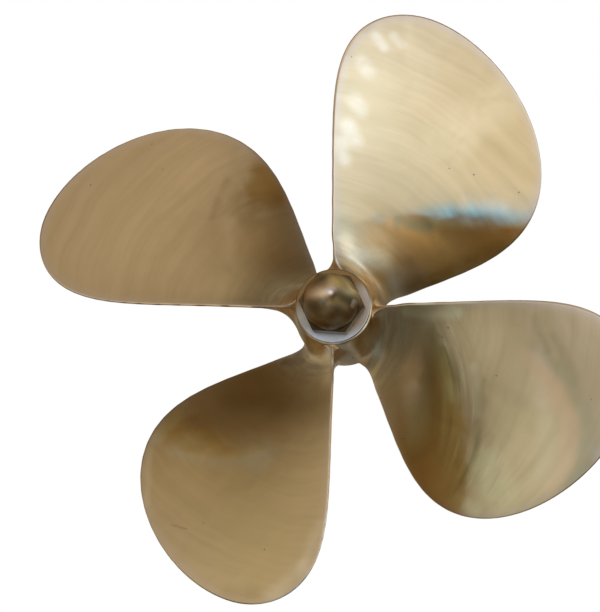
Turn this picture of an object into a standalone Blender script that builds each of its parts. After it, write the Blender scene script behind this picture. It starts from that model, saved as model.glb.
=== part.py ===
"""Four-blade ship propeller: one bronze casting keyed on the tapered end of its tail shaft.

Metres, +Z up. The shaft lies along Y, with the nut and the after side towards -Y.
The origin is the centre of the shaft's flat forward end, where the shaft is cut.
The propeller is right-handed: seen from the nut it turns clockwise to drive ahead.
"""

from math import atan2, cos, pi, radians, sin, sqrt

import bmesh
import bpy
from mathutils import Matrix

# Driving dimensions
DIAMETER = 1.0
RADIUS = DIAMETER / 2
BLADES = 4
HUB_LENGTH = 0.180
HUB_RADIUS = 0.071
SHAFT_RADIUS = 0.040
SHAFT_STUB = 0.090
TAPER = 1 / 12
FIT_GAP = 0.0003

# Stations along the shaft, measured aft from the origin
HUB_FRONT = SHAFT_STUB
HUB_BACK = HUB_FRONT + HUB_LENGTH
PLANE_FROM_BACK = 0.060
BLADE_PLANE = HUB_BACK - PLANE_FROM_BACK

# Blade surface: pitch and rake where the share of the radius is 0.6, and how they change
PITCH = 1.10 * DIAMETER
PITCH_GROWTH = 0.21 * DIAMETER
RAKE = 0.040
RAKE_CURVE = -0.045
MAIN_SHARE = 0.6
MIDDLE_ANGLE = 33.6

# Blade outline. Angles are in degrees, clockwise seen from aft, from the blade's upright line.
# Each edge leaves the tip's angle by a smooth reach, which closes to nothing at the tip.
TIP_ANGLE = 19.6
LEADING_REACH = (47.2, -5.7, -63.6, -54.0)
LEADING_CLOSE = 7.3
TRAILING_REACH = (-19.3, -4.1, -12.0)
TRAILING_CLOSE = 3.3
REACH_SHARE = 0.5
CLOSE_START = 0.20
HUB_SHARE = HUB_RADIUS / RADIUS
LEADING_TUCK = 3.5
TRAILING_TUCK = -4.6
TUCK_END = 0.25

# Blade thickness
ROOT_THICKNESS = 0.036
TIP_THICKNESS = 0.0065
EDGE_THICKNESS = 0.0045
ROOT_DEPTH = 0.018

# Fillets between blade and hub. Those at the blade's edges have little room before the hub ends.
FACE_FILLET = 0.022
BACK_FILLET = 0.026
EDGE_FILLET = 0.030
LEADING_ROOM = 0.0125
TRAILING_ROOM = 0.002
FOOT_POWER = 8
FILLET_SINK = 0.0008

# Hub
HUB_BACK_RADIUS = 0.062
HUB_FRONT_RADIUS = 0.064
HUB_RIM_BEVEL = 0.005
RIM_MARGIN = 0.005
SEAL_RADIUS = 0.052
SEAL_DEPTH = 0.012
SEAL_PROUD = 0.003
SEAL_BEVEL = 0.0015

# Key
KEY_WIDTH = 0.022
KEY_HEIGHT = 0.014
KEY_LENGTH = 0.120
KEY_IN_SHAFT = 0.009

# Washer and domed nut
THREAD_RADIUS = 0.030
WASHER_RADIUS = 0.060
WASHER_THICKNESS = 0.010
WASHER_BEVEL = 0.001
NUT_FLATS = 0.092
NUT_TURN = radians(5.4)
NUT_HEX_HEIGHT = 0.025
NUT_DOME_HEIGHT = 0.062
NUT_DOME_POWER = 2.4
NUT_BORE_DEPTH = 0.048
THREAD_END_GAP = 0.006
THREAD_END_CHAMFER = 0.004
THREAD_RELIEF = 0.004
DOME_INSET = 0.0006
DOME_TIP_FLAT = 0.03
CUTTER_OVERRUN = 0.010

# Mesh fineness
SMOOTH_ANGLE = radians(35)
TURN_STEPS = 64
CHORD_STEPS = 12
BLADE_STEPS = 18
LAST_STEP = 0.992
ROOT_STEPS = 7
ROOT_CROWDING = 1.6
HUB_STEPS = 8
DOME_STEPS = 9


def clear_scene():
    """Remove whatever the scene holds, so that the part starts alone."""
    for old in list(bpy.data.objects):
        bpy.data.objects.remove(old, do_unlink=True)


def metal(name, colour, roughness, metallic=1.0):
    """A plain Principled material."""
    material = bpy.data.materials.new(name)
    material.use_nodes = True
    shader = material.node_tree.nodes["Principled BSDF"]
    shader.inputs["Base Color"].default_value = (*colour, 1.0)
    shader.inputs["Roughness"].default_value = roughness
    shader.inputs["Metallic"].default_value = metallic
    material.diffuse_color = (*colour, 1.0)
    return material


def mesh_object(name, points, faces, material=None):
    """One named object from points and faces, with its faces pointing out."""
    mesh = bpy.data.meshes.new(name)
    mesh.from_pydata(points, [], faces)
    shape = bmesh.new()
    shape.from_mesh(mesh)
    bmesh.ops.recalc_face_normals(shape, faces=shape.faces)
    shape.to_mesh(mesh)
    shape.free()
    mesh.shade_smooth()
    mesh.set_sharp_from_angle(angle=SMOOTH_ANGLE)
    item = bpy.data.objects.new(name, mesh)
    bpy.context.scene.collection.objects.link(item)
    if material:
        mesh.materials.append(material)
    return item


def ring_faces(rings, size, closed):
    """Quads between rings of points; closed joins the last ring to the first."""
    faces = []
    count = rings if closed else rings - 1
    for ring in range(count):
        here = ring * size
        there = (ring + 1) % rings * size
        for step in range(size):
            after = (step + 1) % size
            faces.append((here + step, here + after, there + after, there + step))
    return faces


def turned_ring(name, profile, material=None):
    """A hollow turned piece. The profile is a closed loop of (station, radius)."""
    points = []
    for station, radius in profile:
        for step in range(TURN_STEPS):
            angle = 2 * pi * step / TURN_STEPS
            points.append((radius * sin(angle), -station, radius * cos(angle)))
    faces = ring_faces(len(profile), TURN_STEPS, closed=True)
    return mesh_object(name, points, faces, material)


def turned_solid(name, profile, material=None, steps=TURN_STEPS, turn=0.0):
    """A solid turned piece with flat ends. The profile runs from end to end."""
    points = []
    for station, radius in profile:
        for step in range(steps):
            angle = turn + 2 * pi * step / steps
            points.append((radius * sin(angle), -station, radius * cos(angle)))
    faces = ring_faces(len(profile), steps, closed=False)
    faces.append(tuple(range(steps)))
    last = (len(profile) - 1) * steps
    faces.append(tuple(range(last, last + steps)))
    return mesh_object(name, points, faces, material)


def helper(item):
    """Mark an object as a cutter or a guide, which isn't a piece of the part."""
    item.hide_render = True
    item.display_type = "WIRE"
    return item


def combine(item, other, operation):
    """Join or cut one object by another, exactly."""
    step = item.modifiers.new(operation.title(), "BOOLEAN")
    step.operation = operation
    step.solver = "EXACT"
    step.object = helper(other)


def taper_radius(station):
    """The shaft's radius on its taper, which starts at the hub's forward end."""
    return SHAFT_RADIUS - (station - HUB_FRONT) * TAPER / 2


def edge_angle(share, reach, close, tuck):
    """Angle of one edge of the blade at a share of the full radius, in degrees."""
    swing = sum(term * (share - REACH_SHARE) ** power for power, term in enumerate(reach))
    climb = max(share - CLOSE_START, 0) / (1 - CLOSE_START)
    inward = max(TUCK_END - share, 0) / (TUCK_END - HUB_SHARE)
    return TIP_ANGLE + swing * sqrt(1 - climb ** close) - tuck * inward * inward


def outline(share):
    """Angles of the blade's leading and trailing edges at a share of the full radius."""
    leading = edge_angle(share, LEADING_REACH, LEADING_CLOSE, LEADING_TUCK)
    trailing = edge_angle(share, TRAILING_REACH, TRAILING_CLOSE, TRAILING_TUCK)
    return radians(leading), radians(trailing)


def hub_radius(station):
    """The hub's outer radius: a slight barrel between its two rims."""
    across = (HUB_BACK - station) / HUB_LENGTH
    across = min(max(across, 0.0), 1.0)
    rim = HUB_BACK_RADIUS + (HUB_FRONT_RADIUS - HUB_BACK_RADIUS) * across
    bulge = HUB_RADIUS - (HUB_BACK_RADIUS + HUB_FRONT_RADIUS) / 2
    return rim + bulge * (1 - (2 * across - 1) ** 2)


def fillet_growth(above, size):
    """How far a root fillet of some radius stands out at a height above the hub.

    The fillet's foot sinks a little into the hub, so that the two surfaces cross cleanly.
    """
    down = size - FILLET_SINK - max(above, 0.0)
    if down <= 0:
        return 0.0
    return size - sqrt(size * size - down * down)


def within_rims(station, above):
    """Keep a station inside the hub's rims, ever more loosely as the blade rises from it."""
    lowest = HUB_FRONT + RIM_MARGIN - max(above, 0.0)
    highest = HUB_BACK - RIM_MARGIN + max(above, 0.0)
    return min(max(station, lowest), highest)


def blade_section(level):
    """The closed loop of points around one blade section.

    The level is the section's radius. Near the hub its points follow the hub's barrel.
    """
    share = level / RADIUS
    beyond = share - MAIN_SHARE
    pitch = PITCH + PITCH_GROWTH * beyond
    rake = RAKE * beyond + RAKE_CURVE * beyond * beyond
    slope = atan2(pitch, 2 * pi * level)
    thinning = (share - HUB_SHARE) / (1 - HUB_SHARE)
    depth = ROOT_THICKNESS + (TIP_THICKNESS - ROOT_THICKNESS) * thinning
    above = level - HUB_RADIUS
    follow = min(max(1 - above / EDGE_FILLET, 0.0), 1.0)

    leading, trailing = outline(share)
    spread = fillet_growth(above, EDGE_FILLET)
    leading += min(spread, LEADING_ROOM) * cos(slope) / level
    trailing -= min(spread, TRAILING_ROOM) * cos(slope) / level
    middle = (leading + trailing) / 2
    half = (leading - trailing) / 2
    face_swell = fillet_growth(above, FACE_FILLET)
    back_swell = fillet_growth(above, BACK_FILLET)
    face = []
    back = []
    for step in range(CHORD_STEPS + 1):
        along = -cos(pi * step / CHORD_STEPS)
        angle = middle + along * half
        behind = EDGE_THICKNESS + (depth - EDGE_THICKNESS) * (1 - along * along)
        foot = sqrt(1 - along ** FOOT_POWER)
        for row, shift in ((face, face_swell * foot), (back, -behind - back_swell * foot)):
            turned = angle + shift * sin(slope) / level
            station = BLADE_PLANE + rake - pitch / (2 * pi) * (angle - radians(MIDDLE_ANGLE))
            station = within_rims(station + shift * cos(slope), above)
            radius = level + follow * (hub_radius(station) - HUB_RADIUS)
            row.append((turned, station, radius))
    return face + back[::-1]


def blade_levels():
    """Levels of the blade's sections, from inside the hub out to the tip."""
    levels = [HUB_RADIUS - ROOT_DEPTH, HUB_RADIUS - ROOT_DEPTH / 2]
    for step in range(ROOT_STEPS):
        levels.append(HUB_RADIUS + EDGE_FILLET * (step / ROOT_STEPS) ** ROOT_CROWDING)
    first = HUB_RADIUS + EDGE_FILLET
    for step in range(BLADE_STEPS):
        climb = sin(pi / 2 * step / (BLADE_STEPS - 1) * LAST_STEP)
        levels.append(first + (RADIUS - first) * climb)
    return levels


def blade(number):
    """One blade, from inside the hub to its tip."""
    offset = number * 2 * pi / BLADES
    points = []
    levels = blade_levels()
    size = 2 * (CHORD_STEPS + 1)
    for level in levels:
        for angle, station, radius in blade_section(level):
            turned = angle + offset
            points.append((radius * sin(turned), -station, radius * cos(turned)))
    faces = ring_faces(len(levels), size, closed=False)
    faces.append(tuple(range(size)))
    last = (len(levels) - 1) * size
    faces.append(tuple(range(last, last + size)))
    return mesh_object("blade_shape_%d" % (number + 1), points, faces)


def hub_profile():
    """The hub's outside, from its after end to its forward end."""
    bevel = HUB_RIM_BEVEL
    profile = [(HUB_BACK, HUB_BACK_RADIUS - bevel)]
    for step in range(HUB_STEPS + 1):
        station = HUB_BACK - bevel - step / HUB_STEPS * (HUB_LENGTH - 2 * bevel)
        profile.append((station, hub_radius(station)))
    profile.append((HUB_FRONT, HUB_FRONT_RADIUS - bevel))
    return profile


def bore_profile():
    """What is cut out of the hub: the seal's recess and the taper bore."""
    front = HUB_FRONT - CUTTER_OVERRUN
    step = HUB_FRONT + SEAL_DEPTH
    back = HUB_BACK + CUTTER_OVERRUN
    return [
        (front, SEAL_RADIUS),
        (step, SEAL_RADIUS),
        (step, taper_radius(step) + FIT_GAP),
        (back, taper_radius(back) + FIT_GAP),
    ]


def key_block(name, clearance, material=None):
    """The key's block, which lies along the taper at the top of the shaft."""
    middle = (HUB_FRONT + HUB_BACK) / 2
    wide = KEY_WIDTH / 2 + clearance
    low = -KEY_IN_SHAFT - clearance
    high = KEY_HEIGHT - KEY_IN_SHAFT + clearance
    end = KEY_LENGTH / 2 + clearance
    points = [(x, y, z) for x in (-wide, wide) for y in (-end, end) for z in (low, high)]
    faces = [(0, 1, 3, 2), (4, 6, 7, 5), (0, 4, 5, 1), (2, 3, 7, 6), (0, 2, 6, 4), (1, 5, 7, 3)]
    block = mesh_object(name, points, faces, material)
    tilt = Matrix.Rotation(atan2(TAPER, 2), 4, "X")
    place = Matrix.Translation((0, -middle, taper_radius(middle)))
    block.matrix_world = place @ tilt
    return block


def propeller_casting(bronze):
    """Hub and blades in one casting, then its bore and the key's slot."""
    casting = turned_solid("propeller_casting", hub_profile(), bronze)
    for number in range(BLADES):
        combine(casting, blade(number), "UNION")
    combine(casting, turned_solid("hub_bore_shape", bore_profile()), "DIFFERENCE")
    combine(casting, key_block("hub_key_slot", FIT_GAP), "DIFFERENCE")
    return casting


def tail_shaft(steel):
    """The shaft's end: plain length, taper for the hub and threaded end for the nut."""
    thread_end = HUB_BACK + WASHER_THICKNESS + NUT_BORE_DEPTH - THREAD_END_GAP
    taper_end = HUB_BACK - THREAD_RELIEF
    profile = [
        (0.0, SHAFT_RADIUS),
        (HUB_FRONT, SHAFT_RADIUS),
        (taper_end, taper_radius(taper_end)),
        (taper_end, THREAD_RADIUS),
        (thread_end - THREAD_END_CHAMFER, THREAD_RADIUS),
        (thread_end, THREAD_RADIUS - THREAD_END_CHAMFER),
    ]
    shaft = turned_solid("tail_shaft", profile, steel)
    combine(shaft, key_block("shaft_key_slot", FIT_GAP), "DIFFERENCE")
    return shaft


def nut_washer(steel):
    """The flat ring between the hub's after face and the nut."""
    front = HUB_BACK + FIT_GAP
    back = HUB_BACK + WASHER_THICKNESS
    hole = THREAD_RADIUS + 2 * FIT_GAP
    profile = [
        (front, hole),
        (front, WASHER_RADIUS - WASHER_BEVEL),
        (front + WASHER_BEVEL, WASHER_RADIUS),
        (back - WASHER_BEVEL, WASHER_RADIUS),
        (back, WASHER_RADIUS - WASHER_BEVEL),
        (back, hole),
    ]
    return turned_ring("nut_washer", profile, steel)


def dome_profile(start):
    """The nut's bullet-shaped dome, from inside the hexagon out to its tip."""
    base = NUT_FLATS / 2 - DOME_INSET
    shoulder = start + NUT_HEX_HEIGHT
    profile = [(start + NUT_HEX_HEIGHT / 2, base)]
    for step in range(DOME_STEPS):
        climb = sin(pi / 2 * step / DOME_STEPS)
        radius = base * sqrt(1 - climb ** NUT_DOME_POWER)
        profile.append((shoulder + NUT_DOME_HEIGHT * climb, radius))
    profile.append((shoulder + NUT_DOME_HEIGHT, base * DOME_TIP_FLAT))
    return profile


def domed_nut(bronze):
    """The hexagonal cap nut, closed over the shaft's end."""
    start = HUB_BACK + WASHER_THICKNESS + FIT_GAP
    corner = NUT_FLATS / 2 / cos(pi / 6)
    hexagon = [(start, corner), (start + NUT_HEX_HEIGHT, corner)]
    nut = turned_solid("domed_nut", hexagon, bronze, steps=6, turn=pi / 2 + NUT_TURN)
    combine(nut, turned_solid("nut_dome_shape", dome_profile(start)), "UNION")
    hole = THREAD_RADIUS + FIT_GAP
    bore = [(start - CUTTER_OVERRUN, hole), (start + NUT_BORE_DEPTH, hole)]
    combine(nut, turned_solid("nut_bore_shape", bore), "DIFFERENCE")
    return nut


def hub_seal(rubber):
    """The rubber ring that keeps water out of the bore at the hub's forward end."""
    inner = SHAFT_RADIUS + FIT_GAP
    outer = SEAL_RADIUS - FIT_GAP
    front = HUB_FRONT - SEAL_PROUD
    back = HUB_FRONT + SEAL_DEPTH - FIT_GAP
    profile = [
        (back, inner),
        (back, outer),
        (front + SEAL_BEVEL, outer),
        (front, outer - SEAL_BEVEL),
        (front, inner + SEAL_BEVEL),
        (front + SEAL_BEVEL, inner),
    ]
    return turned_ring("hub_seal", profile, rubber)


def build():
    """Make every piece."""
    clear_scene()
    blade_bronze = metal("blade_bronze", (0.52, 0.38, 0.20), 0.32)
    nut_bronze = metal("nut_bronze", (0.45, 0.30, 0.14), 0.22)
    washer_steel = metal("washer_steel", (0.56, 0.55, 0.60), 0.38)
    shaft_steel = metal("shaft_steel", (0.50, 0.50, 0.50), 0.30)
    seal_rubber = metal("seal_rubber", (0.03, 0.03, 0.03), 0.70, metallic=0.0)
    propeller_casting(blade_bronze)
    tail_shaft(shaft_steel)
    key_block("shaft_key", 0.0, shaft_steel)
    nut_washer(washer_steel)
    domed_nut(nut_bronze)
    hub_seal(seal_rubber)


build()
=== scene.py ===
"""Looks of the ship propeller: fine bronze casting, nut, washer, shaft end and seal in a soft studio.

Metres, in the solids' frame: +Z up, the shaft along Y, the nut and the after side towards -Y.
A station is a distance aft from the shaft's forward end. Angles run clockwise seen from aft.
A blade's level is its distance from the shaft's axis, and a share is a level over the full radius.
"""

from math import atan2, cos, pi, radians, sin, sqrt

import bmesh
import bpy
import numpy as np
from mathutils import Matrix, Vector
from mathutils.geometry import delaunay_2d_cdt


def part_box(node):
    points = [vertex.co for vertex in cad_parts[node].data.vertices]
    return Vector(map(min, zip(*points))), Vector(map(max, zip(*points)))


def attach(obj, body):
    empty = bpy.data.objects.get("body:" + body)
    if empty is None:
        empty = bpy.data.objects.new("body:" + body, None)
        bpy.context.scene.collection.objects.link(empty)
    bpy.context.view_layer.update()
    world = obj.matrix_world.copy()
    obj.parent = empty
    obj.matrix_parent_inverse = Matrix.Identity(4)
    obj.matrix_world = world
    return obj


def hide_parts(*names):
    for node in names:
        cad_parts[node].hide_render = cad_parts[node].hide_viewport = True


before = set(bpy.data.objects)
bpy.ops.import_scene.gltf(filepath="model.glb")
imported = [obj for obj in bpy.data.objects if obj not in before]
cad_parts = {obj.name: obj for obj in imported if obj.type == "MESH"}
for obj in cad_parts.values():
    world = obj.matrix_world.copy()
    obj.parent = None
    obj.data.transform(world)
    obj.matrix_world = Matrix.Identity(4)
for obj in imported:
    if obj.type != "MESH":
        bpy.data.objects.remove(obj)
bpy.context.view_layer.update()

# Sizes that repeat those of the solids
RADIUS = 0.5
BLADES = 4
HUB_RADIUS = 0.071
HUB_BACK_RADIUS = 0.062
HUB_FRONT_RADIUS = 0.064
HUB_RIM_BEVEL = 0.005
HUB_FRONT = -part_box("propeller_casting")[1].y
HUB_LENGTH = 0.180
HUB_BACK = HUB_FRONT + HUB_LENGTH
BLADE_PLANE = HUB_BACK - 0.060
SHAFT_RADIUS = 0.040
TAPER = 1 / 12
FIT_GAP = 0.0003
SEAL_RADIUS = 0.052
SEAL_DEPTH = 0.012
SEAL_PROUD = 0.003
KEY_WIDTH = 0.022
KEY_HEIGHT = 0.014
KEY_LENGTH = 0.120
KEY_IN_SHAFT = 0.009
THREAD_RADIUS = 0.030
THREAD_RELIEF = 0.004
THREAD_END_GAP = 0.006
WASHER_RADIUS = 0.060
WASHER_THICKNESS = 0.010
NUT_FLATS = 0.092
NUT_TURN = radians(5.4)
NUT_HEX_HEIGHT = 0.025
NUT_DOME_HEIGHT = 0.062
NUT_DOME_POWER = 2.4
NUT_BORE_DEPTH = 0.048
DOME_INSET = 0.0006

# Blade surface, as in the solids
PITCH = 1.10
PITCH_GROWTH = 0.21
RAKE = 0.040
RAKE_CURVE = -0.045
MAIN_SHARE = 0.6
MIDDLE_ANGLE = radians(33.6)
TIP_ANGLE = 19.6
LEADING_REACH = (47.2, -5.7, -63.6, -54.0)
LEADING_CLOSE = 7.3
LEADING_TUCK = 3.5
TRAILING_REACH = (-19.3, -4.1, -12.0)
TRAILING_CLOSE = 3.3
TRAILING_TUCK = -4.6
REACH_SHARE = 0.5
CLOSE_START = 0.20
TUCK_END = 0.25
HUB_SHARE = HUB_RADIUS / RADIUS
ROOT_THICKNESS = 0.036
TIP_THICKNESS = 0.0065
EDGE_THICKNESS = 0.0045
FACE_FILLET = 0.022
BACK_FILLET = 0.026
EDGE_FILLET = 0.030
LEADING_ROOM = 0.0125
TRAILING_ROOM = 0.002
FOOT_POWER = 8
RIM_MARGIN = 0.0052
RIM_SOFTNESS = 0.0012

# How far a cutter reaches past its piece, the angle of a sharp edge and the reach of a weld
CUTTER_OVERRUN = 0.010
CORNER = radians(40)
WELD = 4e-6

# Finer shape that the solids leave out: ground band along the edges and the rounded edge itself
EDGE_BAND_WIDTH = 0.010
EDGE_BAND_DROP = 0.0002
EDGE_BAND_POWER = 1.3
NOSE = 0.0022
EDGE_RAMP = 0.006

# Mesh fineness
CHORD_STEPS = 56
BLADE_STEPS = 92
ROOT_STEPS = 22
LAST_STEP = 0.997
BOX_TRIM = 0.0004
PATCH_SPACING = 0.0032
PATCH_CLEARANCE = 0.0017
BEVEL_STEPS = 6
OUTLINE_STEPS = 500
TURN_STEPS = 160


def face_outwards(mesh, weld=False):
    """Turn a mesh's faces outwards, once its parts are welded and its open ends closed if asked."""
    shape = bmesh.new()
    shape.from_mesh(mesh)
    if weld:
        bmesh.ops.remove_doubles(shape, verts=shape.verts, dist=WELD)
        open_edges = [edge for edge in shape.edges if edge.is_boundary]
        bmesh.ops.holes_fill(shape, edges=open_edges, sides=0)
    bmesh.ops.recalc_face_normals(shape, faces=shape.faces)
    shape.to_mesh(mesh)
    shape.free()


def smooth_shading(mesh, sharp_angle=CORNER):
    """Shade a mesh smooth except at its sharp edges."""
    mesh.shade_smooth()
    mesh.set_sharp_from_angle(angle=sharp_angle)


def new_piece(name, points, faces, sharp_angle=CORNER):
    """One mesh object, shaded smooth except at its sharp edges."""
    mesh = bpy.data.meshes.new(name)
    mesh.from_pydata([tuple(point) for point in points], [], faces)
    face_outwards(mesh)
    smooth_shading(mesh, sharp_angle)
    piece = bpy.data.objects.new(name, mesh)
    bpy.context.scene.collection.objects.link(piece)
    return piece


def around(station, angle, radius):
    """Point at a station, at an angle clockwise from up seen from aft, at a radius."""
    return np.stack([radius * np.sin(angle), -station, radius * np.cos(angle)], axis=-1)


def edge_angle(share, reach, close, tuck):
    """Angles of one edge of the blade at shares of the full radius."""
    swing = sum(term * (share - REACH_SHARE) ** power for power, term in enumerate(reach))
    climb = np.clip((share - CLOSE_START) / (1 - CLOSE_START), 0, 1)
    inward = np.clip((TUCK_END - share) / (TUCK_END - HUB_SHARE), 0, None)
    return np.radians(TIP_ANGLE + swing * np.sqrt(1 - climb ** close) - tuck * inward ** 2)


def hub_radius(station):
    """The hub's outer radius: a slight barrel between its two rims."""
    across = np.clip((HUB_BACK - station) / HUB_LENGTH, 0, 1)
    rim = HUB_BACK_RADIUS + (HUB_FRONT_RADIUS - HUB_BACK_RADIUS) * across
    bulge = HUB_RADIUS - (HUB_BACK_RADIUS + HUB_FRONT_RADIUS) / 2
    return rim + bulge * (1 - (2 * across - 1) ** 2)


def fillet_growth(above, size):
    """How far a root fillet of some radius stands out at heights above the hub."""
    down = np.clip(size - np.clip(above, 0, None), 0, size)
    return size - np.sqrt(size * size - down * down)


def soft_limits(station, above):
    """Keep stations inside the hub's rims, ever more loosely as the blade rises from it."""
    lowest = HUB_FRONT + RIM_MARGIN - np.clip(above, 0, None)
    highest = HUB_BACK - RIM_MARGIN + np.clip(above, 0, None)
    station = lowest + RIM_SOFTNESS * np.logaddexp(0, (station - lowest) / RIM_SOFTNESS)
    return highest - RIM_SOFTNESS * np.logaddexp(0, (highest - station) / RIM_SOFTNESS)


def helix(level):
    """Pitch, rake and slope of the blade's face at levels."""
    beyond = level / RADIUS - MAIN_SHARE
    pitch = PITCH + PITCH_GROWTH * beyond
    rake = RAKE * beyond + RAKE_CURVE * beyond * beyond
    slope = np.arctan2(pitch, 2 * pi * level)
    return pitch, rake, slope


def edges_at(level):
    """Angles of the leading and trailing edges at levels, with the fillets at their feet."""
    share = level / RADIUS
    slope = helix(level)[2]
    spread = fillet_growth(level - HUB_RADIUS, EDGE_FILLET)
    leading = edge_angle(share, LEADING_REACH, LEADING_CLOSE, LEADING_TUCK)
    trailing = edge_angle(share, TRAILING_REACH, TRAILING_CLOSE, TRAILING_TUCK)
    leading = leading + np.minimum(spread, LEADING_ROOM) * np.cos(slope) / level
    trailing = trailing - np.minimum(spread, TRAILING_ROOM) * np.cos(slope) / level
    return leading, trailing


def blade_levels():
    """Levels of the blade's sections, from the hub's surface out to the tip."""
    levels = []
    for step in range(ROOT_STEPS):
        levels.append(HUB_RADIUS + EDGE_FILLET * (step / ROOT_STEPS) ** 2)
    first = HUB_RADIUS + EDGE_FILLET
    for step in range(BLADE_STEPS):
        climb = sin(pi / 2 * step / (BLADE_STEPS - 1) * LAST_STEP)
        levels.append(first + (RADIUS - first) * climb)
    return np.array(levels)


def edge_distance(level, angle):
    """Distance along the blade's surface to the nearest point of its outline."""
    outline_level = HUB_RADIUS + (RADIUS - HUB_RADIUS) * np.sin(
        pi / 2 * np.linspace(0, 1, OUTLINE_STEPS))
    leading, trailing = edges_at(outline_level)
    outline_angle = np.concatenate([leading, trailing])
    outline_level = np.concatenate([outline_level, outline_level])
    nearest = np.empty(level.shape)
    for row in range(level.shape[0]):
        stretch = level[row, 0] / cos(helix(level[row, 0])[2])
        across = (angle[row][:, None] - outline_angle[None, :]) * stretch
        along = level[row][:, None] - outline_level[None, :]
        nearest[row] = np.sqrt((across ** 2 + along ** 2).min(axis=1))
    return nearest


def blade_surface():
    """Rings of points round one blade, with each point's distance to the edge and its side."""
    levels = blade_levels()
    leading, trailing = edges_at(levels)
    turns = np.linspace(0, pi, CHORD_STEPS + 1)
    along = -np.cos(turns)[None, :]
    level = np.repeat(levels[:, None], CHORD_STEPS + 1, axis=1)
    angle = (leading + trailing)[:, None] / 2 + along * (leading - trailing)[:, None] / 2
    pitch, rake, slope = helix(level)
    above = level - HUB_RADIUS
    to_edge = edge_distance(level, angle)
    to_edge[:, 0] = 0
    to_edge[:, -1] = 0
    thinning = (level / RADIUS - HUB_SHARE) / (1 - HUB_SHARE)
    depth = ROOT_THICKNESS + (TIP_THICKNESS - ROOT_THICKNESS) * thinning
    belly = (depth - EDGE_THICKNESS) * (1 - along ** 2) * (1 - np.exp(-to_edge / EDGE_RAMP))
    inward = np.clip(1 - to_edge / NOSE, 0, 1)
    closed = 1 - np.sqrt(1 - inward ** 2)
    drop = EDGE_BAND_DROP * np.clip(1 - to_edge / EDGE_BAND_WIDTH, 0, 1) ** EDGE_BAND_POWER
    foot = np.sqrt(np.clip(1 - along ** FOOT_POWER, 0, 1))
    half_edge = (EDGE_THICKNESS - drop) / 2
    face = -drop - half_edge * closed + fillet_growth(above, FACE_FILLET) * foot
    back = -EDGE_THICKNESS - belly + half_edge * closed - fillet_growth(above, BACK_FILLET) * foot
    sides = []
    for shift in (face, back):
        shifted = angle + shift * np.sin(slope) / level
        station = BLADE_PLANE + rake - pitch / (2 * pi) * (angle - MIDDLE_ANGLE)
        station = soft_limits(station + shift * np.cos(slope), above)
        follow = np.clip(1 - above / EDGE_FILLET, 0, 1)
        radius = level + follow * (hub_radius(station) - HUB_RADIUS)
        sides.append((station, shifted, radius * (1 - BOX_TRIM * above / RADIUS)))
    rings = [np.concatenate([front, rear[:, -2:0:-1]], axis=1) for front, rear in zip(*sides)]
    near = np.concatenate([to_edge, to_edge[:, -2:0:-1]], axis=1)
    is_face = np.concatenate([np.ones(to_edge.shape), np.zeros(to_edge[:, 1:-1].shape)], axis=1)
    return rings, near, is_face


def rounded_rim(end, inward):
    """One rounded rim of the hub as (station, radius) points, from its flat end outwards."""
    start = hub_radius(end + inward * HUB_RIM_BEVEL) - HUB_RIM_BEVEL
    points = []
    for step in range(BEVEL_STEPS):
        turn = pi / 2 * step / BEVEL_STEPS
        station = end + inward * HUB_RIM_BEVEL * (1 - cos(turn))
        points.append((station, start + HUB_RIM_BEVEL * sin(turn)))
    return points


def hub_outline():
    """The hub's outside from its after end to its forward end, with rounded rims."""
    profile = rounded_rim(HUB_BACK, -1)
    count = int(HUB_LENGTH / PATCH_SPACING)
    for step in range(count + 1):
        station = HUB_BACK - HUB_RIM_BEVEL - step / count * (HUB_LENGTH - 2 * HUB_RIM_BEVEL)
        profile.append((station, hub_radius(station)))
    return np.array(profile + rounded_rim(HUB_FRONT, 1)[::-1])


def inside_loop(points, loop):
    """Which points of the plane lie inside a closed loop."""
    inside = np.zeros(len(points), bool)
    after = np.roll(loop, -1, axis=0)
    no_rise = 1e-12
    for start, end in zip(loop, after):
        spans = (start[1] > points[:, 1]) != (end[1] > points[:, 1])
        rise = end[1] - start[1] if end[1] != start[1] else no_rise
        crossing = start[0] + (points[:, 1] - start[1]) * (end[0] - start[0]) / rise
        inside ^= spans & (points[:, 0] < crossing)
    return inside


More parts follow.
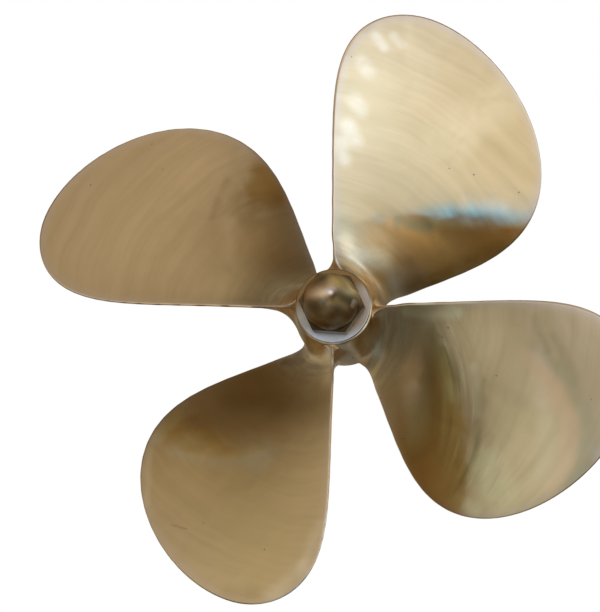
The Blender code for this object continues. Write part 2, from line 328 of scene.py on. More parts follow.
def hub_patch(foot):
    """A quarter of the hub's outside round one blade's foot, as points and triangles.

    The patch is laid out flat: across is the arc at the hub's greatest radius, measured from
    the blade's own helix, and down is the length along the hub's profile.
    """
    profile = hub_outline()
    steps = np.linalg.norm(np.diff(profile, axis=0), axis=1)
    down = np.concatenate([[0], np.cumsum(steps)])
    pitch = helix(HUB_RADIUS)[0]
    foot_station, foot_angle, _ = foot
    centre = (foot_angle.max() + foot_angle.min()) / 2

    def helix_angle(station):
        middle = (foot_station.max() + foot_station.min()) / 2
        return centre - (station - middle) * 2 * pi / pitch

    foot_down = np.interp(-foot_station, -profile[:, 0], down)
    foot_across = (foot_angle - helix_angle(foot_station)) * HUB_RADIUS
    loop = np.stack([foot_across, foot_down], axis=1)
    half = pi / BLADES * HUB_RADIUS
    columns = int(2 * half / PATCH_SPACING)
    across_line = np.linspace(-half, half, columns + 1)
    border = [(across, down[0]) for across in across_line]
    border += [(half, place) for place in down[1:-1]]
    border += [(across, down[-1]) for across in across_line[::-1]]
    border += [(-half, place) for place in down[-2:0:-1]]
    grid = np.array([(across, place) for place in down[1:-1] for across in across_line[1:-1]])
    keep = ~inside_loop(grid, loop)
    gap = np.sqrt(((grid[:, None, :] - loop[None, :, :]) ** 2).sum(axis=2).min(axis=1))
    grid = grid[keep & (gap > PATCH_CLEARANCE)]
    places = np.concatenate([loop, np.array(border), grid])
    ring = len(loop)
    edges = [(step, (step + 1) % ring) for step in range(ring)]
    edges += [(ring + step, ring + (step + 1) % len(border)) for step in range(len(border))]
    tolerance = 1e-7
    found, _, triangles, origin, _, _ = delaunay_2d_cdt(
        [Vector(place) for place in places], edges, [], 0, tolerance)
    flat = np.array([tuple(place) for place in found])
    triangles = np.array(triangles)
    centres = flat[triangles].mean(axis=1)
    sliver = PATCH_SPACING / 100
    within = (np.abs(centres[:, 0]) < half - sliver) & (centres[:, 1] > sliver)
    within &= centres[:, 1] < down[-1] - sliver
    triangles = triangles[within & ~inside_loop(centres, loop)]
    station = np.interp(flat[:, 1], down, profile[:, 0])
    radius = np.interp(flat[:, 1], down, profile[:, 1])
    angle = flat[:, 0] / HUB_RADIUS + helix_angle(station)
    points = around(station, angle, radius)
    foot_points = around(*foot)
    for place, names in enumerate(origin):
        for name in names:
            if name < ring:
                points[place] = foot_points[name]
    return points, triangles


def casting_mesh():
    """Points, faces, edge distances and sides of the whole casting, without its bore.

    A point's side is 1 on a blade's after face, 0 on its forward face and between them on the hub.
    """
    rings, near, is_face = blade_surface()
    rows, size = near.shape
    blade_points = around(*rings).reshape(-1, 3)
    patch_points, patch_faces = hub_patch([ring[0] for ring in rings])
    hub_side = 0.5
    points = []
    faces = []
    distances = []
    sides = []
    for number in range(BLADES):
        turn = number * 2 * pi / BLADES
        spin = np.array([[cos(turn), 0, sin(turn)], [0, 1, 0], [-sin(turn), 0, cos(turn)]])
        start = sum(len(block) for block in points)
        points.append(blade_points @ spin.T)
        distances.append(near.ravel())
        sides.append(is_face.ravel())
        for row in range(rows - 1):
            for step in range(size):
                here = start + row * size + step
                after = start + row * size + (step + 1) % size
                faces.append((here, after, after + size, here + size))
        last = start + (rows - 1) * size
        faces.append(tuple(range(last, last + size)))
        start += rows * size
        points.append(patch_points @ spin.T)
        distances.append(np.full(len(patch_points), HUB_RADIUS))
        sides.append(np.full(len(patch_points), hub_side))
        faces += [tuple(int(corner) + start for corner in face) for face in patch_faces]
    return np.concatenate(points), faces, np.concatenate(distances), np.concatenate(sides)


def cut(piece, cutter):
    """Cut one closed mesh out of another."""
    modifier = piece.modifiers.new("cut", "BOOLEAN")
    modifier.object = cutter
    modifier.operation = "DIFFERENCE"
    modifier.solver = "EXACT"
    solved = piece.evaluated_get(bpy.context.evaluated_depsgraph_get())
    result = bpy.data.meshes.new_from_object(solved)
    before = piece.data
    piece.modifiers.clear()
    piece.data = result
    result.name = piece.name
    bpy.data.meshes.remove(before)
    bpy.data.objects.remove(cutter)


def propeller_casting():
    """The fine casting with its tapered bore, seal recess and key slot."""
    points, faces, distances, sides = casting_mesh()
    piece = new_piece("bronze_propeller", points, faces)
    for name, values in (("to_edge", distances), ("on_face", sides)):
        layer = piece.data.attributes.new(name, "FLOAT", "POINT")
        layer.data.foreach_set("value", values.astype(np.float32))
    face_outwards(piece.data, weld=True)
    front = HUB_FRONT - CUTTER_OVERRUN
    recess = HUB_FRONT + SEAL_DEPTH
    back = HUB_BACK + CUTTER_OVERRUN
    bore = [
        (front, 0.0),
        (front, SEAL_RADIUS),
        (recess, SEAL_RADIUS),
        (recess, taper_radius(recess) + FIT_GAP),
        (back, taper_radius(back) + FIT_GAP),
        (back, 0.0),
    ]
    cut(piece, turned("bore_cutter", bore))
    cut(piece, key_block("key_slot_cutter", FIT_GAP))
    plain = piece.data.attributes["to_edge"]
    places = np.array([vertex.co for vertex in piece.data.vertices])
    values = np.empty(len(places), np.float32)
    plain.data.foreach_get("value", values)
    values[np.hypot(places[:, 0], places[:, 2]) < HUB_FRONT_RADIUS - FIT_GAP] = HUB_RADIUS
    plain.data.foreach_set("value", values)
    smooth_shading(piece.data)
    return piece


def taper_radius(station):
    """Radius of the shaft's taper at a station inside the hub."""
    return SHAFT_RADIUS - (station - HUB_FRONT) * TAPER / 2


def key_block(name, clearance):
    """The key's block, which lies along the taper at the top of the shaft."""
    middle = (HUB_FRONT + HUB_BACK) / 2
    wide = KEY_WIDTH / 2 + clearance
    low = -KEY_IN_SHAFT - clearance
    high = KEY_HEIGHT - KEY_IN_SHAFT + clearance
    end = KEY_LENGTH / 2 + clearance
    lean = Matrix.Rotation(atan2(TAPER, 2), 4, "X")
    place = Matrix.Translation((0, -middle, taper_radius(middle))) @ lean
    points = [place @ Vector((x, y, z)) for x in (-wide, wide) for y in (-end, end) for z in (low, high)]
    faces = [(0, 1, 3, 2), (4, 6, 7, 5), (0, 4, 5, 1), (2, 3, 7, 6), (0, 2, 6, 4), (1, 5, 7, 3)]
    return new_piece(name, points, faces)


def turned(name, profile, ring=False):
    """A turned piece from (station, radius) corners, from axis to axis or round a ring's section."""
    points = []
    rows = []
    for station, radius in profile:
        if radius == 0:
            rows.append([len(points)] * TURN_STEPS)
            points.append((0, -station, 0))
            continue
        rows.append(list(range(len(points), len(points) + TURN_STEPS)))
        for step in range(TURN_STEPS):
            angle = 2 * pi * step / TURN_STEPS
            points.append((radius * sin(angle), -station, radius * cos(angle)))
    if ring:
        rows.append(rows[0])
    return new_piece(name, points, ring_faces(rows))


def ring_faces(rows):
    """Faces between neighbouring rings of point numbers; a ring may be one point repeated."""
    faces = []
    for low, high in zip(rows, rows[1:]):
        for step in range(len(low)):
            after = (step + 1) % len(low)
            corners = [low[step], low[after], high[after], high[step]]
            face = [corner for place, corner in enumerate(corners) if corner != corners[place - 1]]
            if len(face) > 2:
                faces.append(tuple(face))
    return faces


def rounded(profile, closed=False, steps=4):
    """Round the corners of a (station, radius, rounding) profile."""
    result = []
    count = len(profile)
    for number, (station, radius, size) in enumerate(profile):
        end = number in (0, count - 1) and not closed
        if not size or end:
            result.append((station, radius))
            continue
        corner = Vector((station, radius))
        before = (Vector(profile[number - 1][:2]) - corner).normalized()
        after = (Vector(profile[(number + 1) % count][:2]) - corner).normalized()
        half = before.angle(after) / 2
        centre = corner + (before + after).normalized() * (size / sin(half))
        start = corner + before * (size * cos(half) / sin(half)) - centre
        stop = corner + after * (size * cos(half) / sin(half)) - centre
        for step in range(steps + 1):
            share = step / steps
            place = centre + (start * (1 - share) + stop * share).normalized() * size
            result.append((place.x, place.y))
    return result


def tail_shaft():
    """The shaft's end: plain length, taper and threaded end, with turned edges and the key's slot."""
    thread_end = HUB_BACK + WASHER_THICKNESS + NUT_BORE_DEPTH - THREAD_END_GAP
    taper_end = HUB_BACK - THREAD_RELIEF
    cut_edge = 0.0015
    taper_edge = 0.001
    thread_edge = 0.003
    profile = [
        (0.0, 0.0, 0),
        (0.0, SHAFT_RADIUS, cut_edge),
        (HUB_FRONT, SHAFT_RADIUS, 0),
        (taper_end, taper_radius(taper_end), taper_edge),
        (taper_end, THREAD_RADIUS, 0),
        (thread_end, THREAD_RADIUS, thread_edge),
        (thread_end, 0.0, 0),
    ]
    piece = turned("steel_shaft_end", rounded(profile))
    cut(piece, key_block("key_slot_cutter", FIT_GAP))
    smooth_shading(piece.data)
    return piece


def nut_washer():
    """The flat ring under the nut, with rounded edges."""
    front = HUB_BACK + FIT_GAP
    back = HUB_BACK + WASHER_THICKNESS
    hole = THREAD_RADIUS + 2 * FIT_GAP
    hole_edge = 0.0008
    front_edge = 0.0012
    back_edge = 0.0016
    profile = [
        (front, hole, hole_edge),
        (front, WASHER_RADIUS, front_edge),
        (back, WASHER_RADIUS, back_edge),
        (back, hole, hole_edge),
    ]
    return turned("steel_washer", rounded(profile, closed=True), ring=True)


def hub_seal():
    """The rubber ring round the shaft in the hub's forward recess."""
    inner = SHAFT_RADIUS + FIT_GAP
    outer = SEAL_RADIUS - FIT_GAP
    front = HUB_FRONT - SEAL_PROUD
    back = HUB_FRONT + SEAL_DEPTH - FIT_GAP
    middle = (inner + outer) / 2
    groove = 0.0012
    groove_edge = 0.0004
    back_edge = 0.0005
    outer_edge = 0.0015
    inner_edge = 0.0012
    profile = [
        (back, inner, back_edge),
        (back, outer, back_edge),
        (front, outer, outer_edge),
        (front, middle + groove, groove_edge),
        (front + groove, middle, groove_edge),
        (front, middle - groove, groove_edge),
        (front, inner, inner_edge),
    ]
    return turned("rubber_seal", rounded(profile, closed=True), ring=True)


def hexagon_angles():
    """Angles round the nut, crowded at its six rounded corners."""
    places = []
    corner_half = radians(2.2)
    corner_steps = 5
    flat = pi / 3 - 2 * corner_half
    flat_steps = 20
    for corner in range(6):
        middle = NUT_TURN + corner * pi / 3
        for step in range(2 * corner_steps + 1):
            places.append(middle + corner_half * (step / corner_steps - 1))
        for step in range(1, flat_steps):
            places.append(middle + corner_half + flat * step / flat_steps)
    return places


def hexagon_radius(angle):
    """Distance from the axis to the nut's flat sides, with rounded corners."""
    rounding = 0.0016
    off_corner = (angle - NUT_TURN + pi / 6) % (pi / 3) - pi / 6
    centre = (NUT_FLATS / 2 - rounding) / cos(pi / 6)
    tangent = atan2(rounding * sin(pi / 6), centre + rounding * cos(pi / 6))
    if abs(off_corner) > tangent:
        return NUT_FLATS / 2 / cos(pi / 6 - abs(off_corner))
    return centre * cos(off_corner) + sqrt(rounding ** 2 - (centre * sin(off_corner)) ** 2)


def domed_nut():
    """The hexagonal cap nut with chamfered shoulders, a bullet-shaped dome and a blind bore."""
    start = HUB_BACK + WASHER_THICKNESS + FIT_GAP
    shoulder = start + NUT_HEX_HEIGHT
    base = NUT_FLATS / 2 - DOME_INSET
    bore = THREAD_RADIUS + FIT_GAP
    chamfer = 0.0015
    shoulder_slope = 0.06
    edge = 0.0006
    sharp_angle = radians(25)
    dome_steps = 34
    angles = hexagon_angles()
    points = [(0, -(start + NUT_BORE_DEPTH), 0)]
    rows = [[0] * len(angles)]

    def add_row(stations, radii):
        rows.append(list(range(len(points), len(points) + len(angles))))
        for angle, station, radius in zip(angles, stations, radii):
            points.append((radius * cos(angle), -station, -radius * sin(angle)))

    def level_row(station, radius):
        add_row([station] * len(angles), [radius] * len(angles))

    sides = [hexagon_radius(angle) for angle in angles]
    fall = [max(side - base, 0) * shoulder_slope for side in sides]
    level_row(start + NUT_BORE_DEPTH, bore)
    level_row(start + chamfer, bore)
    level_row(start, bore + chamfer)
    add_row([start] * len(angles), [side - edge for side in sides])
    add_row([start + edge] * len(angles), sides)
    add_row([shoulder - drop - edge for drop in fall], sides)
    add_row([shoulder - drop for drop in fall], [side - edge for side in sides])
    for step in range(dome_steps):
        climb = sin(pi / 2 * step / dome_steps)
        level_row(shoulder + NUT_DOME_HEIGHT * climb, base * sqrt(1 - climb ** NUT_DOME_POWER))
    rows.append([len(points)] * len(angles))
    points.append((0, -(shoulder + NUT_DOME_HEIGHT), 0))
    return new_piece("bronze_cap_nut", points, ring_faces(rows), sharp_angle)


# Materials


def add(tree, kind, inputs=None, **settings):
    """Add a shader node, set its options and link or set its inputs."""
    item = tree.nodes.new("ShaderNode" + kind)
    for name, value in settings.items():
        setattr(item, name, value)
    for name, value in (inputs or {}).items():
        if isinstance(value, bpy.types.NodeSocket):
            tree.links.new(value, item.inputs[name])
        else:
            item.inputs[name].default_value = value
    return item


def maths(tree, operation, first, second=0.0, third=0.0):
    """A number worked out from up to three others."""
    item = add(tree, "Math", {0: first, 1: second, 2: third}, operation=operation)
    return item.outputs[0]


def times(tree, first, second):
    """Two numbers multiplied."""
    return maths(tree, "MULTIPLY", first, second)


def total_of(tree, *numbers):
    """Some numbers added up."""
    total = numbers[0]
    for number in numbers[1:]:
        total = maths(tree, "ADD", total, number)
    return total


def vector_maths(tree, operation, first, second):
    """A vector worked out from two others, or a number for their dot product or distance."""
    item = add(tree, "VectorMath", {0: first, 1: second}, operation=operation)
    return item.outputs["Value" if operation in ("DOT_PRODUCT", "DISTANCE") else "Vector"]


def scaled(tree, vector, scale):
    """A vector multiplied by a number."""
    return add(tree, "VectorMath", {0: vector, "Scale": scale}, operation="SCALE").outputs[0]


def joined(tree, x, y, z=0.0):
    """A vector made of three numbers."""
    return add(tree, "CombineXYZ", {0: x, 1: y, 2: z}).outputs[0]


def ramp(tree, value, low, high, bottom=0.0, top=1.0):
    """Map a value smoothly from one range to another, which the smooth step itself never leaves."""
    inputs = {"Value": value, "From Min": low, "From Max": high, "To Min": bottom, "To Max": top}
    return add(tree, "MapRange", inputs, interpolation_type="SMOOTHSTEP", clamp=False).outputs[0]


def blend(tree, share, first, second):
    """Mix two colours."""
    inputs = {0: share}
    for place, colour in ((6, first), (7, second)):
        inputs[place] = (*colour, 1) if isinstance(colour, tuple) else colour
    return add(tree, "Mix", inputs, data_type="RGBA").outputs[2]


def noise(tree, vector, scale, detail=2.0, roughness=0.5, distortion=0.0):
    """Cloudy values between about 0.2 and 0.8."""
    inputs = {"Vector": vector, "Scale": scale, "Detail": detail, "Roughness": roughness,
              "Distortion": distortion}
    return add(tree, "TexNoise", inputs).outputs[0]


def new_material(name):
    """A node material and its tree."""
    material = bpy.data.materials.new(name)
    material.use_nodes = True
    return material, material.node_tree


def connect(tree, colour, rough, height, depth, metallic=1.0):
    """Join a surface's colour, roughness and bump of some depth to its shader."""
    shader = tree.nodes["Principled BSDF"]
    bump = add(tree, "Bump", {"Height": height, "Strength": 1.0, "Distance": depth})
    for name, value in (("Base Color", colour), ("Roughness", rough), ("Normal", bump.outputs[0])):
        tree.links.new(value, shader.inputs[name])
    shader.inputs["Metallic"].default_value = metallic


def place_parts(tree):
    """The place on the object, its x, y and z, and its distance from the shaft's axis."""
    place = add(tree, "TexCoord").outputs["Object"]
    parts = add(tree, "SeparateXYZ", {0: place})
    x, y, z = parts.outputs
    radius = maths(tree, "SQRT", total_of(tree, times(tree, x, x), times(tree, z, z)))
    return place, x, y, z, radius


def arc_vector(tree, x, z, radius, per_metre, per_turn):
    """Coordinates whose clouds stretch into arcs round the shaft's axis."""
    across = times(tree, maths(tree, "DIVIDE", x, radius), per_turn)
    up = times(tree, maths(tree, "DIVIDE", z, radius), per_turn)
    return joined(tree, times(tree, radius, per_metre), across, up)


def wandering_place(tree, place, scale, wobble):
    """The place in x and z, shifted a little by clouds so that marks get irregular borders."""
    shift = add(tree, "TexNoise", {"Vector": place, "Scale": scale, "Detail": 2.0}).outputs["Color"]
    shift = vector_maths(tree, "SUBTRACT", shift, (0.5, 0.5, 0.5))
    moved = vector_maths(tree, "ADD", place, scaled(tree, shift, wobble))
    return vector_maths(tree, "MULTIPLY", moved, (1, 0, 1))


def mark_mask(tree, flat, start, end, half_width, strength):
    """Strength of one soft-edged mark that runs straight between two places in x and z."""
    span = (end[0] - start[0], 0.0, end[1] - start[1])
    length = sqrt(span[0] ** 2 + span[2] ** 2)
    first = (start[0], 0.0, start[1])
    offset = vector_maths(tree, "SUBTRACT", flat, first)
    along = times(tree, vector_maths(tree, "DOT_PRODUCT", offset, span), 1 / length ** 2)
    along = maths(tree, "MINIMUM", maths(tree, "MAXIMUM", along, 0.0), 1.0)
    gap = vector_maths(tree, "DISTANCE", offset, scaled(tree, span, along))
    return ramp(tree, gap, 0.1 * half_width, 1.5 * half_width, strength, 0.0)


def painted_light_and_wear_marks(tree, flat, colour, marks, share):
    """Blend marks into a colour: mostly painted reflections, highlights and shade, partly wear."""
    for start, end, half_width, strength, tint in marks:
        mask = mark_mask(tree, flat, start, end, half_width, strength)
        colour = blend(tree, times(tree, mask, share), colour, tint)
    return colour


# Marks, mostly painted reflections and highlights, light and dark, partly wear: start and end in x and
# z, half width, strength, colour.
# A strength over 1 makes up for the clouds that thin each mark.
PALE = (1.0, 0.80, 0.50)
CREAM = (1.0, 0.77, 0.43)
LIGHT_OLIVE = (1.0, 0.86, 0.48)
TAN = (0.60, 0.42, 0.19)
BROWN = (0.42, 0.28, 0.10)
OLIVE = (0.50, 0.40, 0.18)
TOP_MARKS = (
    ((0.072, 0.440), (0.084, 0.424), 0.009, 0.75, PALE),
    ((0.100, 0.442), (0.112, 0.428), 0.008, 0.65, PALE),
    ((0.048, 0.400), (0.060, 0.382), 0.012, 0.75, PALE),
    ((0.038, 0.335), (0.048, 0.318), 0.014, 0.8, PALE),
    ((0.026, 0.290), (0.034, 0.268), 0.015, 0.95, PALE),
    ((0.016, 0.262), (0.022, 0.236), 0.012, 0.9, PALE),
    ((0.180, 0.285), (0.265, 0.345), 0.035, 0.6, CREAM),
    ((0.212, 0.186), (0.265, 0.184), 0.014, 0.8, (1.0, 0.74, 0.42)),
    ((0.240, 0.285), (0.312, 0.234), 0.015, 0.4, TAN),
    ((0.150, 0.159), (0.210, 0.158), 0.010, 0.9, (1.0, 0.98, 0.66)),
    ((0.064, 0.155), (0.100, 0.153), 0.009, 0.4, (0.62, 0.62, 0.45)),
    ((0.098, 0.152), (0.142, 0.150), 0.012, 1.5, (0.50, 0.50, 0.36)),
    ((0.272, 0.150), (0.310, 0.158), 0.010, 1.0, (0.80, 0.46, 0.14)),
    ((0.088, 0.070), (0.128, 0.078), 0.016, 0.8, (1.0, 0.86, 0.60)),
    ((0.020, 0.112), (0.032, 0.075), 0.014, 0.8, CREAM),
    ((0.036, 0.090), (0.068, 0.094), 0.018, 1.2, (1.0, 0.86, 0.55)),
    ((0.062, 0.064), (0.072, 0.010), 0.018, 0.8, (0.72, 0.42, 0.12)),
    ((0.110, 0.060), (0.262, 0.120), 0.016, 0.7, BROWN),
    ((0.152, 0.070), (0.174, 0.082), 0.011, 0.9, (0.46, 0.27, 0.08)),
)
RIGHT_MARKS = (
    ((0.124, -0.125), (0.120, -0.190), 0.023, 1.0, (1.0, 0.84, 0.54)),
    ((0.082, -0.042), (0.094, -0.056), 0.024, 0.3, BROWN),
    ((0.054, -0.040), (0.062, -0.055), 0.014, 0.9, (1.0, 0.86, 0.60)),
    ((0.118, -0.012), (0.200, -0.018), 0.010, 1.2, (1.0, 0.83, 0.47)),
    ((0.154, -0.030), (0.187, -0.133), 0.014, 0.9, (1.0, 0.88, 0.52)),
    ((0.238, -0.120), (0.224, -0.214), 0.007, 0.5, OLIVE),
    ((0.224, -0.214), (0.200, -0.268), 0.007, 0.5, OLIVE),
    ((0.208, -0.180), (0.196, -0.240), 0.018, 0.4, TAN),
    ((0.232, -0.250), (0.255, -0.290), 0.032, 0.7, (0.95, 0.82, 0.42)),
    ((0.222, -0.098), (0.228, -0.165), 0.009, 0.5, LIGHT_OLIVE),
    ((0.330, -0.085), (0.334, -0.150), 0.016, 0.8, (1.0, 0.72, 0.43)),
    ((0.325, -0.032), (0.343, -0.080), 0.008, 0.5, OLIVE),
    ((0.354, -0.056), (0.384, -0.125), 0.010, 0.45, OLIVE),
    ((0.100, 0.004), (0.230, 0.002), 0.006, 0.8, LIGHT_OLIVE),
    ((0.186, -0.298), (0.212, -0.312), 0.014, 0.8, (1.0, 0.86, 0.48)),
    ((0.225, -0.336), (0.300, -0.335), 0.012, 0.6, TAN),
    ((0.300, -0.330), (0.405, -0.258), 0.018, 0.65, TAN),
)
BOTTOM_MARKS = (
    ((-0.250, -0.198), (-0.130, -0.228), 0.031, 1.0, (1.0, 0.96, 0.68)),
    ((-0.262, -0.137), (-0.308, -0.188), 0.013, 0.9, (0.92, 0.85, 0.58)),
    ((-0.100, -0.061), (-0.062, -0.068), 0.008, 0.8, (0.42, 0.26, 0.09)),
    ((0.000, -0.072), (0.004, -0.084), 0.014, 0.9, (1.0, 0.85, 0.58)),
    ((-0.060, -0.102), (-0.030, -0.118), 0.016, 0.4, BROWN),
    ((-0.190, -0.128), (-0.012, -0.150), 0.022, 0.4, BROWN),
    ((-0.100, -0.165), (-0.012, -0.178), 0.022, 0.3, BROWN),
    ((-0.190, -0.190), (-0.110, -0.400), 0.090, 0.6, (0.82, 0.585, 0.255)),
    ((-0.018, -0.360), (-0.045, -0.425), 0.012, 0.6, PALE),
    ((-0.045, -0.425), (-0.095, -0.468), 0.015, 0.7, PALE),
    ((-0.170, -0.455), (-0.125, -0.462), 0.012, 0.5, TAN),
    ((-0.318, -0.210), (-0.315, -0.300), 0.007, 0.6, CREAM),
    ((-0.270, -0.341), (-0.246, -0.348), 0.0018, 0.5, BROWN),
)
LEFT_MARKS = (
    ((-0.187, 0.240), (-0.212, 0.170), 0.007, 0.3, BROWN),
    ((-0.140, 0.235), (-0.132, 0.198), 0.022, 0.8, (1.0, 0.80, 0.46)),
    ((-0.120, 0.110), (-0.065, 0.082), 0.028, 0.2, BROWN),
    ((-0.180, 0.160), (-0.178, 0.100), 0.018, 0.7, CREAM),
    ((-0.158, 0.225), (-0.160, 0.180), 0.010, 0.6, CREAM),
)

# Fine bowed stripes of the lower right blade: depth of their crest, bow, stripes and clouds per
# metre, then the start, end, half width and strength of the stretch that has them
STRIPE_DEPTH = 0.14
STRIPE_BOW = 2.3
STRIPES_PER_METRE = 62.0
STRIPE_CLOUDS = 5.0
STRIPED = ((0.180, -0.060), (0.215, -0.250), 0.045, 0.65)

# Broad bowed bands of the same blade: depth of their crest, bow, the stretch that has them,
# then crest in x, half width, strength and colour of each
BANDS_DEPTH = 0.205
BANDS_BOW = 4.8
BANDED = ((0.355, -0.100), (0.375, -0.270), 0.060, 1.0)
BOWED_BANDS = (
    (0.338, 0.030, 0.4, (1.0, 0.76, 0.42)),
    (0.373, 0.030, 0.7, (1.0, 0.65, 0.34)),
    (0.408, 0.022, 0.5, (0.60, 0.48, 0.25)),
)


def bowed(tree, x, z, depth, bow):
    """Place across lines that bow outwards and have their crest at a depth below the shaft."""
    below = maths(tree, "ADD", z, depth)
    return maths(tree, "MULTIPLY_ADD", times(tree, below, below), bow, x)


def bowed_stripes(tree, x, z, flat, colour, share):
    """Blend fine light and dark stripes into a colour, on the inner half of the lower right blade."""
    across = times(tree, bowed(tree, x, z, STRIPE_DEPTH, STRIPE_BOW), STRIPES_PER_METRE)
    along = times(tree, z, STRIPE_CLOUDS)
    stripes = noise(tree, joined(tree, across, along), 1.0)
    striped = mark_mask(tree, flat, *STRIPED)
    striped = times(tree, striped, share)
    light_stripes = times(tree, striped, ramp(tree, stripes, 0.52, 0.66))
    dark_stripes = times(tree, striped, ramp(tree, stripes, 0.34, 0.48, 1.0, 0.0))
    colour = blend(tree, light_stripes, colour, LIGHT_OLIVE)
    return blend(tree, dark_stripes, colour, OLIVE)


def bowed_bands(tree, flat, colour, share):
    """Blend soft, broad bands into a colour, on the outer half of the lower right blade."""
    x, _, z = add(tree, "SeparateXYZ", {0: flat}).outputs
    bow = bowed(tree, x, z, BANDS_DEPTH, BANDS_BOW)
    share = times(tree, share, mark_mask(tree, flat, *BANDED))
    for crest, half_width, strength, tint in BOWED_BANDS:
        off_crest = maths(tree, "ABSOLUTE", maths(tree, "SUBTRACT", bow, crest))
        mask = ramp(tree, off_crest, 0.1 * half_width, half_width, strength, 0.0)
        colour = blend(tree, times(tree, mask, share), colour, tint)
    return colour


def reflections_and_wear(tree, colour, place, x, z, clouds):
    """Blend the marks, stripes and bands into a colour, on the after side alone; the marks are mostly
    painted reflections and highlights, partly wear.
    """
    after_side = ramp(tree, add(tree, "Attribute", attribute_name="on_face").outputs["Fac"], 0.1, 0.5)
    share = times(tree, after_side, ramp(tree, clouds, 0.35, 0.65, 1.0, 0.5))
    flat = wandering_place(tree, place, 14.0, 0.016)
    # Marks on the after side: mostly painted reflections and highlights, partly wear
    colour = painted_light_and_wear_marks(tree, flat, colour, TOP_MARKS + RIGHT_MARKS + BOTTOM_MARKS + LEFT_MARKS, share)
    colour = bowed_stripes(tree, x, z, flat, colour, after_side)
    return bowed_bands(tree, flat, colour, after_side)


def edge_shares(tree, place):
    """Shares of the pale band ground along the blades' edges and of the browner rim itself."""
    to_edge = add(tree, "Attribute", attribute_name="to_edge").outputs["Fac"]
    wander = maths(tree, "MULTIPLY_ADD", noise(tree, place, 38.0, 3.0), -0.012, to_edge)
    return ramp(tree, wander, -0.002, 0.014, 1.0, 0.0), ramp(tree, to_edge, 0.0006, 0.0024, 1.0, 0.0)


# Colours of the casting
BRONZE = (0.84, 0.60, 0.305)
DEEP_BRONZE = (0.78, 0.56, 0.275)
STREAK = (0.60, 0.42, 0.20)
CLOUD = (0.66, 0.50, 0.25)
TARNISH = (0.36, 0.27, 0.18)
GROUND_BAND = (0.84, 0.63, 0.42)
RIM = (0.58, 0.36, 0.16)
PIT = (0.25, 0.17, 0.09)


def blade_bronze():
    """Ground and worn bronze: arc streaks, a pale ground edge, tarnish near the roots, small pits, and
    marks that are mostly painted reflections and highlights.
    """
    material, tree = new_material("blade_bronze")
    place, x, _, z, radius = place_parts(tree)
    wavy = maths(tree, "MULTIPLY_ADD", noise(tree, place, 7.0), 0.030, radius)
    broad = noise(tree, arc_vector(tree, x, z, wavy, 55.0, 1.6), 1.0)
    middle = noise(tree, arc_vector(tree, x, z, wavy, 130.0, 3.2), 1.0, 1.5)
    fine = noise(tree, arc_vector(tree, x, z, radius, 700.0, 5.0), 1.0, 1.0)
    waves = noise(tree, place, 20.0, 1.0, 0.4, 0.3)
    clouds = noise(tree, place, 16.0, 4.0, 0.6, 0.4)
    band, rim = edge_shares(tree, place)
    near_root = ramp(tree, maths(tree, "MULTIPLY_ADD", clouds, -0.09, radius), 0.02, 0.11, 1.0, 0.0)
    stained = times(tree, near_root, ramp(tree, middle, 0.35, 0.62))
    pits = add(tree, "TexVoronoi", {"Vector": place, "Scale": 26.0}, feature="F1")
    pit = ramp(tree, pits.outputs["Distance"], 0.025, 0.05, 1.0, 0.0)

    colour = blend(tree, ramp(tree, broad, 0.30, 0.70), BRONZE, DEEP_BRONZE)
    colour = blend(tree, ramp(tree, middle, 0.45, 0.75, 0.0, 0.15), colour, STREAK)
    colour = blend(tree, ramp(tree, clouds, 0.50, 0.80, 0.0, 0.35), colour, CLOUD)
    colour = blend(tree, times(tree, stained, 0.55), colour, TARNISH)
    colour = blend(tree, times(tree, band, 0.55), colour, GROUND_BAND)
    colour = blend(tree, times(tree, rim, 0.25), colour, RIM)
    # Painted reflections and highlights on the after side, partly wear
    colour = reflections_and_wear(tree, colour, place, x, z, clouds)
    colour = blend(tree, times(tree, pit, 0.7), colour, PIT)

    rough = ramp(tree, broad, 0.3, 0.7, 0.11, 0.16)
    rough_root = ramp(tree, radius, 0.08, 0.13, 0.16, 0.0)
    rough = total_of(tree, rough, times(tree, band, 0.06), times(tree, stained, 0.10), rough_root,
                     times(tree, pit, 0.2))
    height = broad
    for unevenness, depth in ((middle, 0.12), (waves, 7.0), (fine, 0.03), (pit, -0.5)):
        height = maths(tree, "MULTIPLY_ADD", unevenness, depth, height)
    connect(tree, colour, rough, height, 0.00008)
    return material


# Marks of the nut, given as the casting's are: painted highlights, a painted gold reflection and painted
# dark shade on the dome; then its colours
NUT_MARKS = (
    ((-0.032, 0.004), (0.004, 0.012), 0.017, 1.0, (0.80, 0.56, 0.33)),
    ((0.004, 0.006), (0.009, 0.006), 0.007, 1.0, (1.0, 0.92, 0.82)),
    ((0.010, 0.031), (0.034, 0.013), 0.012, 0.9, (1.0, 0.78, 0.34)),
    ((0.014, -0.001), (0.034, -0.008), 0.011, 1.0, (0.12, 0.075, 0.022)),
    ((0.010, -0.012), (0.024, -0.024), 0.009, 0.8, (0.16, 0.10, 0.035)),
    ((0.000, -0.014), (-0.012, -0.016), 0.008, 0.8, (0.18, 0.115, 0.045)),
    ((-0.014, -0.016), (-0.032, -0.012), 0.012, 0.8, (0.20, 0.125, 0.045)),
    ((0.041, -0.004), (0.038, -0.014), 0.003, 0.5, (1.0, 0.85, 0.60)),
)
NUT_BRONZE = (0.42, 0.27, 0.11)
DEEP_NUT_BRONZE = (0.34, 0.215, 0.085)
NUT_FOOT_SHADE = (0.20, 0.125, 0.045)
CREVICE_SHADE = (0.10, 0.06, 0.02)


